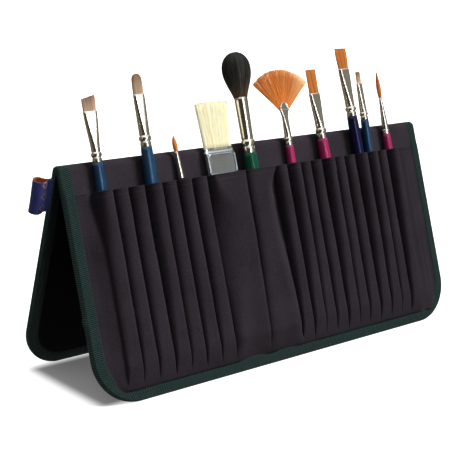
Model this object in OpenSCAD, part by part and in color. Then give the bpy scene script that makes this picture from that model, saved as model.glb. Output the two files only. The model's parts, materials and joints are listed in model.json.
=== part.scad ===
// Folding brush case that stands as an easel: two stiff cloth-covered panels share a fold
// along the ridge, a row of sewn pockets runs across the front one, and ten brushes stand
// in the pockets. Millimetres, +X along the ridge, front panel towards -Y, +Z up.
// The origin is on the surface the case stands on, under the middle of its outline.

/* [Case] */
// Width of the case along the ridge
case_w = 380; // [340:5:420]
// Length of a panel from the fold line down to its foot
panel_l = 173.5; // [160:0.5:190]
// Lean of each panel from upright when the case stands
panel_lean = 17.6; // [14:0.2:24]
// Radius of the panels' lower corners
corner_r = 35; // [20:1:45]
// Distance from the fold line to the edge of each board
fold_gap = 3; // [2:0.5:6]

/* [Layers] */
// Space from a panel's inner side to the mid-plane when the case is folded together
inner_gap = 0.3; // [0.2:0.1:1]
// Thickness of the binding tape
tape_t = 0.6; // [0.4:0.1:1]
// Width of the binding tape on each face
tape_w = 8; // [6:0.5:12]
// Thickness of the outer cover cloth
cover_t = 0.7; // [0.4:0.1:1.2]
// Thickness of the stiffening board
board_t = 2.4; // [1.5:0.1:4]
// Thickness of the lining cloth
lining_t = 0.6; // [0.4:0.1:1.2]

/* [Pockets] */
// Distance from the fold line down to the pocket mouths
mouth_s = 18; // [12:0.5:30]
// Distance from the fold line to the bottom of the pockets
pocket_end = 165; // [150:0.5:165]
// Thickness of the pocket cloth
pocket_wall = 0.8; // [0.6:0.1:1]
// Gap between one pocket's cloth and the next at a seam
seam_gap = 0.4; // [0.2:0.1:1]
// How many degrees the pocket front leans in towards the foot
pocket_lean = 1.2; // [0:0.1:1.5]
// Length of the slope that closes a pocket at its foot
pocket_slope = 16; // [12:1:24]
// First pocket: where it starts, and the seam after it, from the left end of the ridge
first_seams = [13, 22.5]; // [10:0.5:30]
// Number of pockets of the left-hand row after the first one
left_count = 7; // [4:1:7]
// Pitch of the left-hand row
left_pitch = 15; // [14:0.5:15]
// The two wide middle pockets: the seam between them, and the seam after them
middle_seams = [163, 199]; // [150:1:210]
// Number of pockets of the right-hand row
right_count = 11; // [6:1:11]
// Pitch of the right-hand row
right_pitch = 13.3; // [13:0.1:13.4]
// Right-hand edge of the last, nearly flat pocket
last_edge = 371.5; // [360:0.5:372]
// How far a narrow pocket stands out from the lining
narrow_bulge = 9.6; // [7.5:0.1:11]
// How far a narrow pocket stands out where it holds a thick handle
filled_bulge = 12.4; // [11:0.1:14]
// How far the hake's pocket and the mop's pocket stand out
middle_bulge = [12.4, 14.4]; // [12:0.1:18]
// How far the last pocket stands out
last_bulge = 4; // [3:0.5:8]

/* [Tag] */
// Width of the woven ribbon
tag_w = 26; // [15:1:35]
// How far the folded ribbon stands out past the panel's edge
tag_out = 16; // [12:1:20]
// Distance from the fold line to the ribbon
tag_s = 5.5; // [5:0.5:30]
// Outer radius of the ribbon loop's round end
tag_r = 5; // [3:0.1:5.5]
// How far the round end lies further out than the ribbon's root
tag_lift = 1.2; // [0:0.1:2]
// Half thickness of the ribbon loop at its root
tag_root = 1.3; // [1.2:0.1:1.8]
// Thickness of the ribbon
tag_wall = 0.7; // [0.5:0.1:1]

/* [Brushes] */
// How far the handles reach down below the pocket mouths
handle_depth = 129; // [100:1:130]
// Space between a handle and the lining at the mouth
handle_gap = 0.5; // [0.4:0.1:1]
// Angled shader: place along the ridge, lean in degrees, tip height above the mouth
shader_place = [29.6, 1.3, 71.3]; // [0:0.1:380]
// Angled shader: tuft width, tuft length, ferrule length, handle diameter
shader_size = [12, 12, 38, 8.4]; // [1:0.1:60]
// Filbert: place along the ridge, lean in degrees, tip height above the mouth
filbert_place = [74.2, 1.4, 84.3]; // [0:0.1:380]
// Filbert: tuft width, tuft length, ferrule length, handle diameter
filbert_size = [10, 16, 40, 10]; // [1:0.1:60]
// Small round: place along the ridge, lean in degrees, tip height above the mouth
round_place = [104.4, -1.9, 35.3]; // [-5:0.1:380]
// Small round: tuft diameter, tuft length, ferrule length, handle diameter
round_size = [3.8, 12.5, 26, 6.4]; // [1:0.1:60]
// Hake: place along the ridge, lean in degrees, tip height above the mouth
hake_place = [144.9, 0, 58.2]; // [0:0.1:380]
// Hake: tuft width, tuft length, ferrule length, ferrule thickness
hake_size = [34.6, 37, 22.4, 6]; // [1:0.1:60]
// Hake: width of the ferrule
hake_ferrule_w = 29.2; // [24:0.1:29.2]
// Mop: place along the ridge, lean in degrees, tip height above the mouth
mop_place = [174, 0, 95.4]; // [0:0.1:380]
// Mop: tuft diameter, tuft length, ferrule length, handle diameter
mop_size = [22.6, 36.5, 45.5, 12]; // [1:0.1:60]
// Fan: place along the ridge, lean in degrees, tip height above the mouth
fan_place = [219.8, 1.8, 79.4]; // [0:0.1:380]
// Fan: tuft radius, half of its angle, ferrule length, handle diameter
fan_size = [39, 47.7, 29.2, 7.6]; // [1:0.1:60]
// Large flat: place along the ridge, lean in degrees, tip height above the mouth
flat_place = [258.2, -0.9, 76.9]; // [-5:0.1:380]
// Large flat: tuft width, tuft length, ferrule length, handle diameter
flat_size = [11.2, 20.5, 39, 9.6]; // [1:0.1:60]
// Bright: place along the ridge, lean in degrees, tip height above the mouth
bright_place = [298.3, -1.3, 93.1]; // [-5:0.1:380]
// Bright: tuft width, tuft length, ferrule length, handle diameter
bright_size = [14.5, 18, 42, 10]; // [1:0.1:60]
// Small flat: place along the ridge, lean in degrees, tip height above the mouth
wash_place = [312.8, 1.6, 71.7]; // [0:0.1:380]
// Small flat: tuft width, tuft length, ferrule length, handle diameter
wash_size = [7.5, 10.5, 32, 8]; // [1:0.1:60]
// Liner: place along the ridge, lean in degrees, tip height above the mouth
liner_place = [338, 0.6, 72.8]; // [0:0.1:380]
// Liner: tuft diameter, tuft length, ferrule length, handle diameter
liner_size = [4.3, 26, 32.5, 7.6]; // [1:0.1:60]

/* [Hidden] */
$fn = 64;

// layers of a panel, measured outwards from the plane through the fold line
cover_n = inner_gap + tape_t;
board_n = cover_n + cover_t;
lining_n = board_n + board_t;
face_n = lining_n + lining_t;

// the foot edges are pressed flat by this much where they stand
foot_press = 0.6;
fold_z = (panel_l + tape_t) * cos(panel_lean) - inner_gap * sin(panel_lean) - foot_press;

// the tag stands out at one end only, and the pockets on one side, so the fold line is shifted
// to bring the middle of the whole outline over the origin
mid_x = tag_out / 2;
pocket_run = pocket_end - pocket_slope - mouth_s;
front_reach = (mouth_s + pocket_run) * sin(panel_lean)
    + (face_n + middle_bulge[1] - pocket_run * sin(pocket_lean)) * cos(panel_lean);
back_reach = (panel_l + tape_t) * sin(panel_lean) + (face_n + tape_t) * cos(panel_lean);
mid_y = (front_reach - back_reach) / 2;

// seams of the three groups of pockets
left_end = first_seams[1] + left_count * left_pitch;
right_end = middle_seams[1] + right_count * right_pitch;
filled_left = [0, 3];             // left-hand pockets that hold a thick handle
filled_right = [1, 4, 7, 8, 10];  // right-hand pockets that hold a handle

// brushes
handle_end_r = 2.3;
tenon_l = 8;
tenon_share = 0.26;               // tenon radius as a share of the handle diameter
bore_share = 0.66;                // bore radius as a share of the ferrule's lower radius
fan_sink = 4.2;                   // how far the centre of the fan's arc lies below its ferrule
fan_root = 4.4;                   // half of the fan's width at the ferrule
fan_lip = fan_place[2] - fan_size[0] + fan_sink;
big = 600;                        // larger than the case, for cutting planes
cut = 1;                          // how far a cutting shape runs past a face

// ---------- places ----------

module front_frame() {
    translate([mid_x, mid_y, fold_z]) rotate([90 - panel_lean, 0, 0]) children();
}

module back_frame() {
    translate([mid_x, mid_y, fold_z]) rotate([0, 0, 180]) rotate([90 - panel_lean, 0, 0]) children();
}

module below_floor() {
    translate([-big / 2, -big / 2, -big]) cube(big);
}

// ---------- panels ----------

// outline of a panel, grown outwards by some distance, from the foot up to "top" below the fold
module panel_outline(grow = 0, top = 0) {
    r = corner_r + grow;
    half = case_w / 2 + grow;
    low = -panel_l - grow;
    translate([-half, low + r]) square([2 * half, -top - low - r]);
    translate([-half + r, low]) square([2 * half - 2 * r, r + cut]);
    for (side = [-1, 1]) translate([side * (half - r), low + r]) circle(r);
}

module panel_layer(n, thickness, top = 0, grow = 0) {
    translate([0, 0, n]) linear_extrude(thickness) panel_outline(grow, top);
}

// tape folded round the two sides and the foot, over the edges of all the layers
module binding() {
    difference() {
        translate([0, 0, inner_gap]) linear_extrude(face_n + tape_t - inner_gap) difference() {
            panel_outline(tape_t, fold_gap);
            panel_outline(-tape_w, fold_gap - cut);
        }
        panel_layer(cover_n, face_n - cover_n);
    }
}

module front_cover() {
    color("#1b1a1c") front_frame() panel_layer(cover_n, cover_t);
}

module front_board() {
    color("#8d8272") front_frame() panel_layer(board_n, board_t, fold_gap);
}

module front_lining() {
    color("#332a2b") front_frame() panel_layer(lining_n, lining_t);
}

module front_binding() {
    color("#0c2a1e") difference() {
        front_frame() binding();
        below_floor();
    }
}

module back_cover() {
    color("#1b1a1c") back_frame() panel_layer(cover_n, cover_t);
}

module back_board() {
    color("#8d8272") back_frame() panel_layer(board_n, board_t, fold_gap);
}

module back_lining() {
    color("#332a2b") back_frame() panel_layer(lining_n, lining_t);
}

module back_binding() {
    color("#0c2a1e") difference() {
        back_frame() binding();
        below_floor();
    }
}

// cloth that turns over the fold line between the two panels, from one radius to another
module turned_cloth(inner_r, outer_r) {
    reach = 2 * outer_r;
    translate([mid_x - case_w / 2, mid_y, fold_z]) rotate([90, 0, 90]) linear_extrude(case_w)
        difference() {
            circle(outer_r);
            circle(inner_r);
            polygon([[0, 0], [reach * cos(panel_lean), reach * sin(panel_lean)], [reach, -reach],
                [-reach, -reach], [-reach * cos(panel_lean), reach * sin(panel_lean)]]);
        }
}

module ridge_cloth() {
    color("#332a2b") turned_cloth(lining_n, face_n);
}

module cover_fold() {
    color("#1b1a1c") turned_cloth(cover_n, board_n);
}

// ribbon folded into a flat loop, sewn to the back panel's end under the ridge
// the ribbon's line seen along the panel: narrow at the binding, round at its end
module tag_outline() {
    hull() {
        translate([0, -tag_root]) square([tape_t, 2 * tag_root]);
        translate([tag_out - tape_t - tag_r, tag_lift]) circle(tag_r);
    }
}

module tag_loop() {
    edge = case_w / 2 + tape_t;
    gap = tag_root - tag_wall;
    color("#2b3f9e") back_frame() translate([edge, -tag_s, (inner_gap + face_n) / 2])
        rotate([90, 0, 0]) linear_extrude(tag_w) difference() {
            tag_outline();
            offset(delta = -tag_wall) tag_outline();
            translate([-cut, -gap]) square([tape_t + tag_wall + cut, 2 * gap]);
        }
}

// ---------- pockets ----------

// cross-section of a pocket on the lining: straight sides and a rounded front
module arch(width, bulge, r) {
    translate([-width / 2, -bulge]) square([width, 2 * bulge - r]);
    if (width > 2 * r) translate([r - width / 2, -bulge]) square([width - 2 * r, 2 * bulge]);
    if (width > 2 * r) for (side = [-1, 1]) translate([side * (width / 2 - r), bulge - r]) circle(r);
    if (width <= 2 * r) translate([0, bulge - r]) circle(width / 2);
}

// the arch run down the panel, leaning in, and closed by a slope at the foot
module pocket_form(width, bulge, r, above, slope_end) {
    slope = atan(bulge / pocket_slope);
    difference() {
        translate([0, -mouth_s, 0]) rotate([90 - pocket_lean, 0, 0]) translate([0, 0, -above])
            linear_extrude(panel_l) arch(width, bulge, r);
        translate([-width, -slope_end, 0]) rotate([slope, 0, 0])
            translate([0, -big, 0]) cube([2 * width, 2 * big, big]);
    }
}

// how far down a pocket may reach at some place along the ridge, inside the tape's round corner
function foot_at(x) = let (inset = corner_r - min(x, case_w - x)) inset <= 0 ? pocket_end
    : min(pocket_end, panel_l - corner_r + sqrt(pow(corner_r - tape_w, 2) - pow(inset, 2)));

// one pocket between two seams, hollow and open at the mouth
module pocket(from, to, bulge, corner) {
    width = to - from - seam_gap;
    r = min(corner, width / 2);
    foot = min(foot_at(from), foot_at(to));
    translate([(from + to) / 2 - case_w / 2, 0, face_n]) difference() {
        pocket_form(width, bulge, r, 0, foot);
        pocket_form(width - 2 * pocket_wall, bulge - pocket_wall, r - pocket_wall, cut,
            foot - 2 * pocket_wall);
        translate([-width, -big, -big]) cube([2 * width, 2 * big, big]);
    }
}

function holds(list, i) = len([for (k = list) if (k == i) k]) > 0;

module left_pockets() {
    color("#3a3032") front_frame() {
        pocket(first_seams[0], first_seams[1], narrow_bulge, left_pitch);
        for (i = [0 : left_count - 1])
            pocket(first_seams[1] + i * left_pitch, first_seams[1] + (i + 1) * left_pitch,
                holds(filled_left, i) ? filled_bulge : narrow_bulge, left_pitch);
    }
}

module middle_pockets() {
    color("#3a3032") front_frame() {
        pocket(left_end, middle_seams[0], middle_bulge[0], middle_bulge[0] / 2);
        pocket(middle_seams[0], middle_seams[1], middle_bulge[1], middle_bulge[1] * 0.8);
    }
}

module right_pockets() {
    color("#3a3032") front_frame() {
        for (i = [0 : right_count - 1])
            pocket(middle_seams[1] + i * right_pitch, middle_seams[1] + (i + 1) * right_pitch,
                holds(filled_right, i) ? filled_bulge : narrow_bulge, right_pitch);
        pocket(right_end, last_edge, last_bulge, last_bulge);
    }
}

// ---------- brushes ----------

// A brush's own frame: +Z up its axis from the level of the mouth, its flat side towards -Y.
// The handle lies along the lining, so its taper sets how far it leans forward.
function forward(handle_d) = asin((handle_d / 2 - handle_end_r) / handle_depth);
function ferrule_top(place, size) = place[2] - size[1];
function ferrule_low(place, size) = ferrule_top(place, size) - size[2];

module brush_frame(place, thick) {
    front_frame() translate([place[0] - case_w / 2, -mouth_s, face_n + thick / 2 + handle_gap])
        rotate([-90 + forward(thick), 0, -place[1]]) children();
}

// turned and lacquered handle, fullest a little below the ferrule, with a tenon inside it
module handle(top, d) {
    r = d / 2;
    low = -handle_depth;
    long = top - low;
    steps = 10;
    belly = 0.16;
    body = [for (i = [0 : steps]) let (t = i / steps) t < belly
        ? [r * (0.88 + 0.12 * sin(90 * t / belly)), top - t * long]
        : [handle_end_r + (r - handle_end_r) * (1 - pow((t - belly) / (1 - belly), 1.15)), top - t * long]];
    rotate_extrude() polygon(concat([[0, top + tenon_l], [d * tenon_share, top + tenon_l],
        [d * tenon_share, top]], body,
        [[handle_end_r * 0.6, low - handle_end_r * 0.6], [0, low - handle_end_r * 0.75]]));
}

// round metal tube from the handle to the tuft, drawn in towards its top
module round_ferrule_form(top, low, low_r, top_r) {
    difference() {
        rotate_extrude() polygon([[0, low], [low_r, low], [low_r, low + (top - low) * 0.35],
            [top_r, top], [0, top]]);
        translate([0, 0, low - cut]) cylinder(h = tenon_l + cut, r = low_r * bore_share);
    }
}

// metal tube that is round at the handle and pinched flat at the tuft
module flat_ferrule_form(top, low, low_r, width, thick) {
    neck = low + (top - low) * 0.4;
    difference() {
        translate([0, 0, low]) cylinder(h = neck - low, r = low_r);
        translate([0, 0, low - cut]) cylinder(h = tenon_l + cut, r = low_r * bore_share);
    }
    hull() {
        translate([0, 0, neck]) cylinder(h = 0.1, r = low_r, $fn = 32);
        flat_slice(top - 0.1, width, thick, 0.1);
    }
}

// thin slice with round ends, the cross-section of a flat ferrule or tuft
module flat_slice(z, width, thick, height) {
    for (side = [-1, 1]) translate([side * (width - thick) / 2, 0, z])
        cylinder(h = height, r = thick / 2, $fn = 32);
}

// flat tuft that thins towards its edge, which may slope or be rounded
module flat_tuft_form(low, long, width, thick, slant = 0, crown = 0) {
    spread = width / 2;
    tip = low + long;
    hull() {
        flat_slice(low, width * 0.86, thick, 0.1);
        translate([-spread, -thick * 0.45, low + long * 0.4]) cube([width, thick * 0.9, 0.1]);
        if (crown > 0) translate([0, 0.4, tip - crown]) rotate([90, 0, 0]) cylinder(h = 0.8, r = crown, $fn = 32);
        if (crown == 0) translate([-spread, -0.4, tip - slant - 0.1]) cube([0.1, 0.8, 0.1]);
        if (crown == 0) translate([spread - 0.1, -0.4, tip - 0.1]) cube([0.1, 0.8, 0.1]);
    }
}

// round tuft: swells from the ferrule and closes to a point
module round_tuft_form(low, long, width, root_r, belly) {
    steps = 12;
    r = width / 2;
    side = [for (i = [0 : steps]) let (t = i / steps) t < belly
        ? [root_r + (r - root_r) * sin(90 * t / belly), low + t * long]
        : [r * pow(cos(90 * (t - belly) / (1 - belly)), 0.8), low + t * long]];
    rotate_extrude() polygon(concat([[0, low]], side));
}

module shader_handle() {
    color("#1d4fa3") brush_frame(shader_place, shader_size[3])
        handle(ferrule_low(shader_place, shader_size), shader_size[3]);
}

module shader_ferrule() {
    color("#d8d8d4") brush_frame(shader_place, shader_size[3])
        flat_ferrule_form(ferrule_top(shader_place, shader_size), ferrule_low(shader_place, shader_size),
            shader_size[3] * 0.44, shader_size[0] * 0.9, 4);
}

module shader_tuft() {
    color("#7d6a58") brush_frame(shader_place, shader_size[3])
        flat_tuft_form(ferrule_top(shader_place, shader_size), shader_size[1], shader_size[0], 3.6,
            slant = 5);
}

module filbert_handle() {
    color("#1d4fa3") brush_frame(filbert_place, filbert_size[3])
        handle(ferrule_low(filbert_place, filbert_size), filbert_size[3]);
}

module filbert_ferrule() {
    color("#d8d8d4") brush_frame(filbert_place, filbert_size[3])
        flat_ferrule_form(ferrule_top(filbert_place, filbert_size), ferrule_low(filbert_place, filbert_size),
            filbert_size[3] * 0.42, filbert_size[0] * 0.95, 4.4);
}

module filbert_tuft() {
    color("#7d6a58") brush_frame(filbert_place, filbert_size[3])
        flat_tuft_form(ferrule_top(filbert_place, filbert_size), filbert_size[1], filbert_size[0], 4,
            crown = filbert_size[0] / 2);
}

module round_handle() {
    color("#1d4fa3") brush_frame(round_place, round_size[3])
        handle(ferrule_low(round_place, round_size), round_size[3]);
}

module round_ferrule() {
    color("#d8d8d4") brush_frame(round_place, round_size[3])
        round_ferrule_form(ferrule_top(round_place, round_size), ferrule_low(round_place, round_size),
            round_size[3] * 0.42, round_size[0] * 0.52);
}

module round_tuft() {
    color("#c9702e") brush_frame(round_place, round_size[3])
        round_tuft_form(ferrule_top(round_place, round_size), round_size[1], round_size[0],
            round_size[0] * 0.45, 0.25);
}

// flat wooden handle with rounded sides, narrowing to the foot
module hake_handle() {
    thick = hake_size[3];
    low = -handle_depth;
    top = ferrule_low(hake_place, hake_size);
    color("#c9a877") brush_frame(hake_place, thick) hull() {
        flat_slice(top - 0.1, hake_ferrule_w * 0.85, thick * 0.8, 0.1);
        flat_slice(top - 30, hake_ferrule_w * 0.75, thick * 0.74, 0.1);
        flat_slice(low, hake_ferrule_w * 0.5, 2 * handle_end_r, 0.1);
    }
}

module hake_ferrule() {
    thick = hake_size[3];
    color("#cfcfcc") brush_frame(hake_place, thick) translate([0, 0, ferrule_low(hake_place, hake_size)])
        linear_extrude(hake_size[2]) {
            square([hake_ferrule_w - thick, thick], center = true);
            for (side = [-1, 1]) translate([side * (hake_ferrule_w - thick) / 2, 0]) circle(d = thick);
        }
}

module hake_tuft() {
    thick = hake_size[3];
    low = ferrule_top(hake_place, hake_size);
    color("#e9dcb4") brush_frame(hake_place, thick) hull() {
        flat_slice(low, hake_ferrule_w * 0.96, thick * 0.86, 0.1);
        flat_slice(low + hake_size[1] - 0.1, hake_size[0], thick * 0.7, 0.1);
    }
}

module mop_handle() {
    color("#0e6a3c") brush_frame(mop_place, mop_size[3])
        handle(ferrule_low(mop_place, mop_size), mop_size[3]);
}

module mop_ferrule() {
    color("#d8d8d4") brush_frame(mop_place, mop_size[3])
        round_ferrule_form(ferrule_top(mop_place, mop_size), ferrule_low(mop_place, mop_size),
            mop_size[3] * 0.46, mop_size[3] * 0.48);
}

module mop_tuft() {
    color("#241c1a") brush_frame(mop_place, mop_size[3])
        round_tuft_form(ferrule_top(mop_place, mop_size), mop_size[1], mop_size[0],
            mop_size[3] * 0.46, 0.5);
}

module fan_handle() {
    color("#a3195b") brush_frame(fan_place, fan_size[3])
        handle(fan_lip - fan_size[2], fan_size[3]);
}

module fan_ferrule() {
    color("#d8d8d4") brush_frame(fan_place, fan_size[3])
        flat_ferrule_form(fan_lip, fan_lip - fan_size[2], fan_size[3] * 0.42, 2 * fan_root, 2.4);
}

// flat fan of hair, spread from the pinched ferrule
module fan_tuft() {
    r = fan_size[0];
    beyond = [2 * r * sin(fan_size[1]) - fan_root, 2 * r * cos(fan_size[1]) - fan_sink];
    color("#d9783a") brush_frame(fan_place, fan_size[3]) translate([0, 0.6, fan_place[2] - r])
        rotate([90, 0, 0]) linear_extrude(1.2) intersection() {
            circle(r);
            polygon([[-fan_root, fan_sink], [-beyond[0], beyond[1]], beyond, [fan_root, fan_sink]]);
        }
}

module flat_handle() {
    color("#a3195b") brush_frame(flat_place, flat_size[3])
        handle(ferrule_low(flat_place, flat_size), flat_size[3]);
}

module flat_ferrule() {
    color("#d8d8d4") brush_frame(flat_place, flat_size[3])
        flat_ferrule_form(ferrule_top(flat_place, flat_size), ferrule_low(flat_place, flat_size),
            flat_size[3] * 0.42, flat_size[0] * 0.95, 4.2);
}

module flat_tuft() {
    color("#c9702e") brush_frame(flat_place, flat_size[3])
        flat_tuft_form(ferrule_top(flat_place, flat_size), flat_size[1], flat_size[0], 3.8);
}

module bright_handle() {
    color("#1a1f5c") brush_frame(bright_place, bright_size[3])
        handle(ferrule_low(bright_place, bright_size), bright_size[3]);
}

module bright_ferrule() {
    color("#d8d8d4") brush_frame(bright_place, bright_size[3])
        flat_ferrule_form(ferrule_top(bright_place, bright_size), ferrule_low(bright_place, bright_size),
            bright_size[3] * 0.42, bright_size[0] * 0.8, 4.2);
}

module bright_tuft() {
    color("#c9702e") brush_frame(bright_place, bright_size[3])
        flat_tuft_form(ferrule_top(bright_place, bright_size), bright_size[1], bright_size[0], 3.8);
}

module wash_handle() {
    color("#1d4fa3") brush_frame(wash_place, wash_size[3])
        handle(ferrule_low(wash_place, wash_size), wash_size[3]);
}

module wash_ferrule() {
    color("#d8d8d4") brush_frame(wash_place, wash_size[3])
        flat_ferrule_form(ferrule_top(wash_place, wash_size), ferrule_low(wash_place, wash_size),
            wash_size[3] * 0.42, wash_size[0] * 0.95, 3.6);
}

module wash_tuft() {
    color("#7d6a58") brush_frame(wash_place, wash_size[3])
        flat_tuft_form(ferrule_top(wash_place, wash_size), wash_size[1], wash_size[0], 3.2);
}

module liner_handle() {
    color("#a3195b") brush_frame(liner_place, liner_size[3])
        handle(ferrule_low(liner_place, liner_size), liner_size[3]);
}

module liner_ferrule() {
    color("#d8d8d4") brush_frame(liner_place, liner_size[3])
        round_ferrule_form(ferrule_top(liner_place, liner_size), ferrule_low(liner_place, liner_size),
            liner_size[3] * 0.42, liner_size[0] * 0.52);
}

module liner_tuft() {
    color("#c9702e") brush_frame(liner_place, liner_size[3])
        round_tuft_form(ferrule_top(liner_place, liner_size), liner_size[1], liner_size[0],
            liner_size[0] * 0.45, 0.25);
}

front_cover();
front_board();
front_lining();
front_binding();
left_pockets();
middle_pockets();
right_pockets();
ridge_cloth();
cover_fold();
back_cover();
back_board();
back_lining();
back_binding();
tag_loop();
shader_handle();
shader_ferrule();
shader_tuft();
filbert_handle();
filbert_ferrule();
filbert_tuft();
round_handle();
round_ferrule();
round_tuft();
hake_handle();
hake_ferrule();
hake_tuft();
mop_handle();
mop_ferrule();
mop_tuft();
fan_handle();
fan_ferrule();
fan_tuft();
flat_handle();
flat_ferrule();
flat_tuft();
bright_handle();
bright_ferrule();
bright_tuft();
wash_handle();
wash_ferrule();
wash_tuft();
liner_handle();
liner_ferrule();
liner_tuft();
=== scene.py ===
import json
import math

import bpy
import numpy as np
from mathutils import Matrix, Vector


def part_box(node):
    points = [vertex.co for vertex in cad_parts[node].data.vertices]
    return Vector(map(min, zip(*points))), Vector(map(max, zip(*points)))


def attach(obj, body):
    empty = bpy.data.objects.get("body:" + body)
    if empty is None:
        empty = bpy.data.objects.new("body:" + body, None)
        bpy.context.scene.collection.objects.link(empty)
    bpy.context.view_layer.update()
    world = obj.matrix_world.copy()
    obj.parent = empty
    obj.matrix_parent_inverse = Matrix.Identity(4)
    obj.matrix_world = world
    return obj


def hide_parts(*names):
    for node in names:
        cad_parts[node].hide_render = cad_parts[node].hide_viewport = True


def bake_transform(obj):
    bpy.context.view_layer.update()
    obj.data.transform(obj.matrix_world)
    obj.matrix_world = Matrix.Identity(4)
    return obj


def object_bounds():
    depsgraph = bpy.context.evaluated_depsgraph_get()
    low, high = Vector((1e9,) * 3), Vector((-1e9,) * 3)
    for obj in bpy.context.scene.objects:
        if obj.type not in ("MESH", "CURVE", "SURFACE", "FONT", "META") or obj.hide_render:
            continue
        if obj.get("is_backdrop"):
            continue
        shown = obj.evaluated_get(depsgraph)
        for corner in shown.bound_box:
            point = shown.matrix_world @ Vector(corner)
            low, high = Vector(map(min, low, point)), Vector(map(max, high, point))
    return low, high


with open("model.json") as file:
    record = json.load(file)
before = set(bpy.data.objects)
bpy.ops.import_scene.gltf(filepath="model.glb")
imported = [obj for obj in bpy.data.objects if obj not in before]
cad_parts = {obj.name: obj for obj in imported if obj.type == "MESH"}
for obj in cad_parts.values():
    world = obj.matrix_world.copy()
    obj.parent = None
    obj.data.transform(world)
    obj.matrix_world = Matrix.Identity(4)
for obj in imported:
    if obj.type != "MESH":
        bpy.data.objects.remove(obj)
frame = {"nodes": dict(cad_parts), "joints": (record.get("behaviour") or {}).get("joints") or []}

CAD_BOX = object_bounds()
MM = 0.001
rng = np.random.default_rng(41)

# ---------- the case's sizes, in millimetres, as in the CAD source ----------
HINGE = next(j for j in frame["joints"] if j["name"] == "ridge_hinge")["pos_m"]
MID_X, MID_Y, FOLD_Z = (v / MM for v in HINGE)
LEAN = math.radians(17.6)            # each panel's lean from upright
SIN, COS = math.sin(LEAN), math.cos(LEAN)
WIDTH, LENGTH, CORNER = 380.0, 173.5, 35.0
INNER, COVER_IN, FACE = 0.3, 0.9, 4.6     # levels out from the fold plane: tape, cover, lining's face
TAPE_T = 0.65
MOUTH = 18.0                         # pocket mouths, down from the fold line
POCKET_FOOT = 166.0
HANDLE_DEPTH, HANDLE_END, HANDLE_GAP = 129.0, 2.3, 0.5
FOLD_ARC = math.pi / 2 - LEAN        # from straight up to a panel's normal
FOLD_HALF = FACE * FOLD_ARC          # half the cloth that lies round the fold


# ---------- places ----------
def place(x, s, n, side=1, turn=FOLD_ARC):
    """Points from (along the ridge, down from the fold line, out from the fold plane), in metres.

    side is 1 on the front panel and -1 on the back. turn is the angle from straight up to the way out,
    which is smaller where cloth goes over the fold.
    """
    y = MID_Y - side * (s * SIN + n * np.sin(turn))
    z = FOLD_Z - s * COS + n * np.cos(turn)
    return np.stack(np.broadcast_arrays(MID_X + x - WIDTH / 2, y, z), -1) * MM


def inset(s):
    """How far the panel's outline is drawn in at its round lower corners."""
    return CORNER - np.sqrt(CORNER ** 2 - np.clip(s - (LENGTH - CORNER), 0, CORNER) ** 2)


def ease(t):
    t = np.clip(t, 0, 1)
    return t * t * (3 - 2 * t)


def unit(v):
    return v / np.maximum(np.linalg.norm(v, axis=-1, keepdims=True), 1e-12)


def circle(count):
    """Cosines and sines of even steps once round."""
    a = np.linspace(0, 2 * math.pi, count, endpoint=False)
    return np.cos(a), np.sin(a)


# ---------- meshes ----------
def add_object(name, data):
    obj = bpy.data.objects.new(name, data)
    bpy.context.scene.collection.objects.link(obj)
    return obj


def add_mesh(name, verts, faces, material, shade=None):
    """A smooth object. shade is a value for each vertex, which its material reads as an attribute."""
    mesh = bpy.data.meshes.new(name)
    verts = np.asarray(verts, np.float32).reshape(-1, 3)
    mesh.from_pydata(verts.tolist(), [], faces)
    mesh.update()
    mesh.polygons.foreach_set("use_smooth", np.ones(len(mesh.polygons), bool))
    if shade is not None:
        layer = mesh.attributes.new("shade", "FLOAT", "POINT")
        layer.data.foreach_set("value", np.asarray(shade, np.float32).ravel())
    mesh.materials.append(material)
    return add_object(name, mesh)


def belongs(obj, body, slot, *nodes):
    """Fix a piece to a body, or with body "both" bake its place into its mesh; hide the CAD nodes it stands
    for. slot is not used.
    """
    if body == "both":
        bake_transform(obj)
    else:
        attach(obj, body)
    if nodes:
        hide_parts(*nodes)
    return obj


def grid_faces(rows, cols, wrap_cols=False):
    rr, cc = np.meshgrid(np.arange(rows - 1), np.arange(cols if wrap_cols else cols - 1), indexing="ij")
    a, b = rr * cols + cc, rr * cols + (cc + 1) % cols
    return np.stack([a, b, b + cols, a + cols], -1).reshape(-1, 4)


def tube_faces(rows, cols, count=1):
    """Faces of closed tubes that follow one another: all the walls, then the caps at both ends."""
    starts = np.arange(count)[:, None] * rows * cols
    walls = (grid_faces(rows, cols, True)[None] + starts[:, None]).reshape(-1, 4)
    first, last = starts + np.arange(cols)[::-1], starts + (rows - 1) * cols + np.arange(cols)
    return [*walls.tolist(), *first.tolist(), *last.tolist()]


def normals_of(points):
    """Unit normals of a grid of points."""
    return unit(np.cross(np.gradient(points, axis=0), np.gradient(points, axis=1)))


def sheet_between(name, outer, inner, material):
    """A closed sheet between two grids of points."""
    rows, cols = outer.shape[:2]
    off = rows * cols
    top = grid_faces(rows, cols)
    index = np.arange(off).reshape(rows, cols)
    rim = np.concatenate([index[0, :-1], index[:-1, -1], index[-1, :0:-1], index[:0:-1, 0]])
    after = np.roll(rim, -1)
    edge = np.stack([after, rim, rim + off, after + off], -1)
    verts = np.concatenate([outer.reshape(-1, 3), inner.reshape(-1, 3)])
    return add_mesh(name, verts, np.concatenate([top, top[:, ::-1] + off, edge]).tolist(), material)


def thick_sheet(name, points, thickness, material):
    """A closed sheet from a grid of points, thickened on its inner side."""
    return sheet_between(name, points, points - normals_of(points) * thickness * MM, material)


def ripple(values, seed, scale):
    """Repeatable smooth noise along one axis."""
    local = np.random.default_rng(seed)
    phases = local.uniform(0, 2 * math.pi, 5)
    rates = scale * np.array([0.31, 0.73, 1.17, 1.91, 3.1])
    weights = np.array([1, 0.8, 0.6, 0.35, 0.2])
    values = np.asarray(values, float)[..., None]
    return (np.sin(values * rates + phases) * weights).sum(-1) / weights.sum()


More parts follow.
